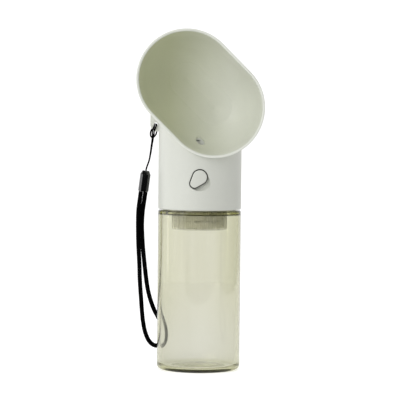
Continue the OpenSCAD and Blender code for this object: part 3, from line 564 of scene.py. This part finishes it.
rings = [[(x, BUTTON_BACK, AXIS_Z + z) for x, z in button_outline(0)]]
for i in range(EDGE_STEPS + 1):
    a = math.pi / 2 * i / EDGE_STEPS
    sink, inset = EDGE_R * (1 - math.sin(a)), EDGE_R * (1 - math.cos(a))
    rings.append([(x, dome_y(x, z) + sink, AXIS_Z + z) for x, z in button_outline(inset)])
middle = (-REACH * CROWN_AT * math.sin(SWING), -REACH * CROWN_AT * math.cos(SWING))
flat = button_outline(EDGE_R)
for share in CROWN_RINGS:
    ring = [(middle[0] + (x - middle[0]) * share, middle[1] + (z - middle[1]) * share) for x, z in flat]
    rings.append([(x, dome_y(x, z), AXIS_Z + z) for x, z in ring])
button = stack("push_button", rings, shell, "button")
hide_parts("button")
# A near-black lip in the gap round the button: painted shade for the shadow in that gap.
lip = [[(x, y * MM, AXIS_Z + z) for x, z in button_outline(inset * MM)] for y, inset in GAP_SHADE_ROWS]
stack("button_gap_shade", lip, MADE["gap_shade_black"], "button")

# ---------------------------------------------------------------- return spring
SPRING_R, WIRE_R, TURNS, PRESS = 4.4 * MM, 0.4 * MM, 6, 1.8 * MM
TURN_POINTS = 32
old_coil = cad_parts["valve_spring"]
reach = [(old_coil.matrix_world @ Vector(c)).y for c in old_coil.bound_box]
front_y, back_y = min(reach) + WIRE_R, max(reach) - WIRE_R
close_pitch = 2.2 * WIRE_R
open_pitch = (back_y - front_y - 2 * close_pitch) / (TURNS - 2)


def coil_y(at):
    """How far along its axis the wire is after so many turns. The first and the last turn lie close."""
    if at < 1:
        return front_y + at * close_pitch
    if at > TURNS - 1:
        return back_y - (TURNS - at) * close_pitch
    return front_y + close_pitch + (at - 1) * open_pitch


coil = []
for i in range(TURNS * TURN_POINTS + 1):
    at = i / TURN_POINTS
    a = at * 2 * math.pi
    coil.append(Vector((SPRING_R * math.cos(a), coil_y(at), AXIS_Z + SPRING_R * math.sin(a))))
spring = tube("return_spring", coil, radius=WIRE_R, sides=12, paint=MADE["valve_spring"],
              body="head")
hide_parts("valve_spring")
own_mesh(spring)

# ---------------------------------------------------------------- filter: granules, fleece
random.seed(7)
MEDIA_R, CASE_Z, CASE_FLOOR, FLEECE_H = 20.0 * MM, 111.5 * MM, 1.4 * MM, 5.6 * MM
MEDIA_Z, MEDIA_TOP = CASE_Z + CASE_FLOOR + FLEECE_H + 0.2 * MM, 132.8 * MM
# The plain core under the grains: how far it stays inside the granules' space at its side, foot and top
CORE_SIDE, CORE_FOOT, CORE_TOP, CORE_POINTS = 1.5 * MM, 0.4 * MM, 0.6 * MM, 64
# Rows of grains against the cup's wall
ROW_GRAINS, ROW_STEP, ROW_FOOT, ROW_TOP = 72, 1.35 * MM, 0.95 * MM, 0.9 * MM
GRAIN_FOOT, GRAIN_TOP = 0.9 * MM, 0.95 * MM    # no grain's middle comes nearer to the foot or the top
# Rings of grains on top: the radius in mm and the number of grains
TOP_RINGS = ((4, 18), (7, 32), (10, 46), (13, 60), (16, 72))
TOP_SIZE, TOP_DOWN = 0.85 * MM, 1.0 * MM
ball = bmesh.new()
bmesh.ops.create_icosphere(ball, subdivisions=1, radius=1)
grain_points = [v.co.copy() for v in ball.verts]
grain_faces = [tuple(v.index for v in f.verts) for f in ball.faces]
ball.free()


def grain(at, size):
    """The points of one grain: a coarse ball that is turned, stretched and chipped."""
    angle = random.uniform(0, 6.28)
    axis = Vector((random.random(), random.random(), 1)).normalized()
    spin = Matrix.Rotation(angle, 3, axis)
    stretch = Vector((random.uniform(0.75, 1.1), random.uniform(0.75, 1.1), random.uniform(0.7, 1.0)))
    points = []
    for p in grain_points:
        turned = spin @ Vector(a * b for a, b in zip(p, stretch))
        points.append(at + turned * size * random.uniform(0.9, 1.08))
    return points


def all_grains():
    """Every grain's points: row by row against the cup's wall, then ring by ring on top."""
    grains = []
    row_z, row = MEDIA_Z + ROW_FOOT, 0
    while row_z < MEDIA_TOP - ROW_TOP:
        for k in range(ROW_GRAINS):
            a = 2 * math.pi * (k + 0.5 * (row % 2) + random.uniform(-0.2, 0.2)) / ROW_GRAINS
            r = MEDIA_R - random.uniform(1.0, 1.35) * MM
            z = row_z + random.uniform(-0.25, 0.25) * MM
            z = min(max(z, MEDIA_Z + GRAIN_FOOT), MEDIA_TOP - GRAIN_TOP)
            size = random.uniform(0.72, 0.92) * MM
            grains.append(grain(Vector((r * math.cos(a), r * math.sin(a), z)), size))
        row_z, row = row_z + ROW_STEP, row + 1
    for r, count in TOP_RINGS:
        for k in range(count):
            a = 2 * math.pi * (k + random.uniform(-0.2, 0.2)) / count
            at = Vector((r * MM * math.cos(a), r * MM * math.sin(a), MEDIA_TOP - TOP_DOWN))
            grains.append(grain(at, TOP_SIZE))
    return grains


vertices, faces = [], ring_faces(2, CORE_POINTS)
for z in (MEDIA_Z + CORE_FOOT, MEDIA_TOP - CORE_TOP):
    vertices += circle(MEDIA_R - CORE_SIDE, z, CORE_POINTS)
for points in all_grains():
    faces += [tuple(len(vertices) + i for i in face) for face in grain_faces]
    vertices += points
granule_bed = piece("filter_granules", vertices, faces, MADE["filter_media"], "filter",
                    smooth=False)
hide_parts("filter_media")

FELT_IN, FELT_UP = 0.35, 0.25                  # how far the felt's surface wanders, in mm
PAD_R, PAD_Z = MEDIA_R, CASE_Z + CASE_FLOOR + 0.1 * MM
PAD_LOW, PAD_HIGH = PAD_Z + 0.4 * MM, PAD_Z + FLEECE_H - 0.5 * MM
PAD_CENTRE, PAD_POINTS = 0.3 * MM, 160         # the flat middle of its faces, and the points of a ring
PAD_RINGS = (0.3, 0.6, 0.85)                   # rings on its faces, as shares of its radius
SIDE_ROWS = (1.6, 2.2, 2.8, 3.4, 4.0)          # mm up its side
# Its rounded edges: how far inside its side they leave the face and pass the corner, and how high that is
ROUND_FACE, ROUND_CORNER, CORNER_UP = 0.9 * MM, 0.3 * MM, 0.9 * MM


def felt_ripple(p):
    """How far the felt's surface lies from the plain disc at a point: up to 0.7 mm in, and up or down."""
    out = Vector((p.x, p.y, 0)).normalized()
    lift = Vector((0, 0, noise.noise(p * 600 + Vector((3, 1, 2)))))
    return out * (noise.noise(p * 900) * FELT_IN - FELT_IN) * MM + lift * FELT_UP * MM


profile = [(PAD_CENTRE, PAD_LOW)]
profile += [(PAD_R * share, PAD_LOW) for share in PAD_RINGS]
profile += [(PAD_R - ROUND_FACE, PAD_LOW), (PAD_R - ROUND_CORNER, PAD_Z + CORNER_UP)]
profile += [(PAD_R, PAD_Z + h * MM) for h in SIDE_ROWS]
profile += [(PAD_R - ROUND_CORNER, PAD_Z + FLEECE_H - CORNER_UP), (PAD_R - ROUND_FACE, PAD_HIGH)]
profile += [(PAD_R * share, PAD_HIGH) for share in reversed(PAD_RINGS)]
profile += [(PAD_CENTRE, PAD_HIGH)]
felt = [[p + felt_ripple(p) for p in circle(r, z, PAD_POINTS)] for r, z in profile]
pad = stack("fleece_pad", felt, MADE["filter_fleece"], "filter")
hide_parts("filter_fleece")

# ---------------------------------------------------------------- screw threads
PITCH = 5.0 * MM
TURN_STEPS, FADE_STEPS, LEAST = 90, 22, 0.05   # points of a turn and of a faded end, and what is left there
SUNK = 0.35 * MM                               # how far the thread reaches into the wall that carries it
SUNK_HALF, ROOT_HALF, CREST_HALF = 1.25, 1.15, 0.45   # half widths of its section, in mm


def thread(name, root_r, crest_r, z0, z1, offset, paint, body):
    """One start of a thread with sloping flanks, a turn for each pitch, faded out at both ends."""
    turns = (z1 - z0) / PITCH
    steps = int(turns * TURN_STEPS)
    into = root_r - math.copysign(SUNK, crest_r - root_r)
    rows = []
    for i in range(steps + 1):
        a = 2 * math.pi * turns * i / steps + offset
        z = z0 + PITCH * turns * i / steps
        fade = min(1.0, i / FADE_STEPS, (steps - i) / FADE_STEPS)
        crest = root_r + (crest_r - root_r) * max(fade, LEAST)
        half = [(into, -SUNK_HALF), (root_r, -ROOT_HALF), (crest, -CREST_HALF)]
        shape = half + [(r, -h) for r, h in reversed(half)]
        rows.append([(r * math.cos(a), r * math.sin(a), z + h * MM) for r, h in shape])
    return stack(name, rows, paint, body)


thread("neck_thread", root_r=27.0 * MM, crest_r=27.85 * MM, z0=129.6 * MM, z1=136.6 * MM, offset=0.0,
       paint=MADE["neck_thread"], body="bottle")
thread("cap_thread", root_r=28.2 * MM, crest_r=27.35 * MM, z0=131.8 * MM, z1=137.8 * MM, offset=2.5,
       paint=insert, body="head")

# ---------------------------------------------------------------- light, floor and background
FRONT_FILL, BACK_FILL = 0.42, 1.16     # the world on matt surfaces, from the camera's side and from behind
# Each spread is the direction where it starts and where it ends, and its levels there.
SWEEP = (0.3, 0.98, 0.3, 1.0)          # the white sweep that glass and gloss see: dim at its sides
GLOSS_SWEEP = (0.5, 0.95, 0.1, 1.0)    # the share of it in gloss on the outside, less to the sides
SIDE_PANEL = (-0.55, -0.75, 0.0, 1.5)  # a bright panel at the left, only for gloss on the outside
FLOOR_SEEN = 0.95                      # the world below the horizon, as glass sees it
FLOOR_GLOW, FLOOR_DIRECT = 0.28, 0.55  # the floor's own light for glass and gloss, and for the camera
INNER_FILL = 1.0                       # the world for what stands inside the clear bottle: the plain level
BOUNCED = 0.5                          # a ray's depth of a kind is above this once it bounced in that way

world = bpy.data.worlds.new("studio")
world.use_nodes = True
scene.world = world
w = Shader(world.node_tree)
ray = w.add("ShaderNodeLightPath").node.outputs
beside, facing, upward = w.axes("Generated")
fill = w.spread(facing, -1, 1, FRONT_FILL, BACK_FILL)
# mirrored: glass or gloss sent the ray on and no matt surface did. gloss: gloss did, and no glass.
mirrored = w.math("MAXIMUM", ray["Is Glossy Ray"], ray["Is Transmission Ray"])
mirrored = w.math("MULTIPLY", mirrored, w.math("LESS_THAN", ray["Diffuse Depth"], BOUNCED))
gloss = w.math("MULTIPLY", ray["Is Glossy Ray"], w.math("LESS_THAN", ray["Transmission Depth"], BOUNCED))
sweep = w.spread(facing, *SWEEP)
sweep = w.math("MULTIPLY", sweep, w.spread(gloss, 0, 1, 1.0, w.spread(facing, *GLOSS_SWEEP)))
sweep = w.math("MAXIMUM", sweep, w.math("MULTIPLY", gloss, w.spread(beside, *SIDE_PANEL)))
level = w.math("ADD", fill, w.math("MULTIPLY", mirrored, w.math("SUBTRACT", sweep, fill)))
under = w.math("MULTIPLY", mirrored, w.math("LESS_THAN", upward, 0.0))
under = w.math("MULTIPLY", under, w.math("SUBTRACT", 1.0, gloss))
level = w.math("MAXIMUM", level, w.math("MULTIPLY", under, FLOOR_SEEN))
inner = w.math("MULTIPLY", ray["Is Transmission Ray"], w.math("GREATER_THAN", ray["Diffuse Depth"], BOUNCED))
level = w.math("MAXIMUM", level, w.math("MULTIPLY", inner, INNER_FILL))
level = w.math("MAXIMUM", level, ray["Is Camera Ray"])
back = w.add("ShaderNodeBackground", inputs={"Color": (1, 1, 1, 1), "Strength": level})
w.add("ShaderNodeOutputWorld", inputs={"Surface": back})


def floor_paint():
    """Matt pale floor with a glow that keeps it white to the camera and pale to glass and gloss."""
    made, s = material("floor")
    ray = s.add("ShaderNodeLightPath").node.outputs
    mirrored = s.math("MAXIMUM", ray["Is Glossy Ray"], ray["Is Transmission Ray"])
    seen = s.math("MAXIMUM", s.math("MULTIPLY", mirrored, FLOOR_GLOW),
                  s.math("MULTIPLY", ray["Is Camera Ray"], FLOOR_DIRECT))
    matt = s.add("ShaderNodeBsdfDiffuse", inputs={"Color": (0.8, 0.8, 0.8, 1)})
    glow = s.add("ShaderNodeEmission", inputs={"Color": (1, 1, 1, 1), "Strength": seen})
    both = s.add("ShaderNodeAddShader", inputs={0: matt, 1: glow})
    s.add("ShaderNodeOutputMaterial", inputs={"Surface": both})
    return made


LEFT, RIGHT, NEAR_EDGE, FAR_EDGE = -0.7, 0.7, -0.6, 0.8
corners = [(LEFT, NEAR_EDGE, 0), (RIGHT, NEAR_EDGE, 0), (RIGHT, FAR_EDGE, 0), (LEFT, FAR_EDGE, 0)]
ground = bpy.data.meshes.new("floor")
ground.from_pydata(corners, [], [(0, 1, 2, 3)])
ground.materials.append(floor_paint())
floor = bpy.data.objects.new("floor", ground)
scene.collection.objects.link(floor)


def lamp(name, at, towards, power, size, tall=None):
    """An area lamp: a disc of that size or, with tall, an upright rectangle."""
    data = bpy.data.lights.new(name, "AREA")
    data.shape = "RECTANGLE" if tall else "DISK"
    data.energy, data.size, data.size_y = power, size, tall or size
    thing = bpy.data.objects.new(name, data)
    thing.location = at
    thing.rotation_euler = (Vector(towards) - Vector(at)).to_track_quat("-Z", "Y").to_euler()
    scene.collection.objects.link(thing)


lamp("key", at=(-1.30, -1.70, 0.95), towards=(0, 0, 0.16), power=18, size=1.8)
lamp("strip", at=(-1.30, 0.20, 0.22), towards=(0, 0, 0.14), power=0.28, size=0.08, tall=0.5)
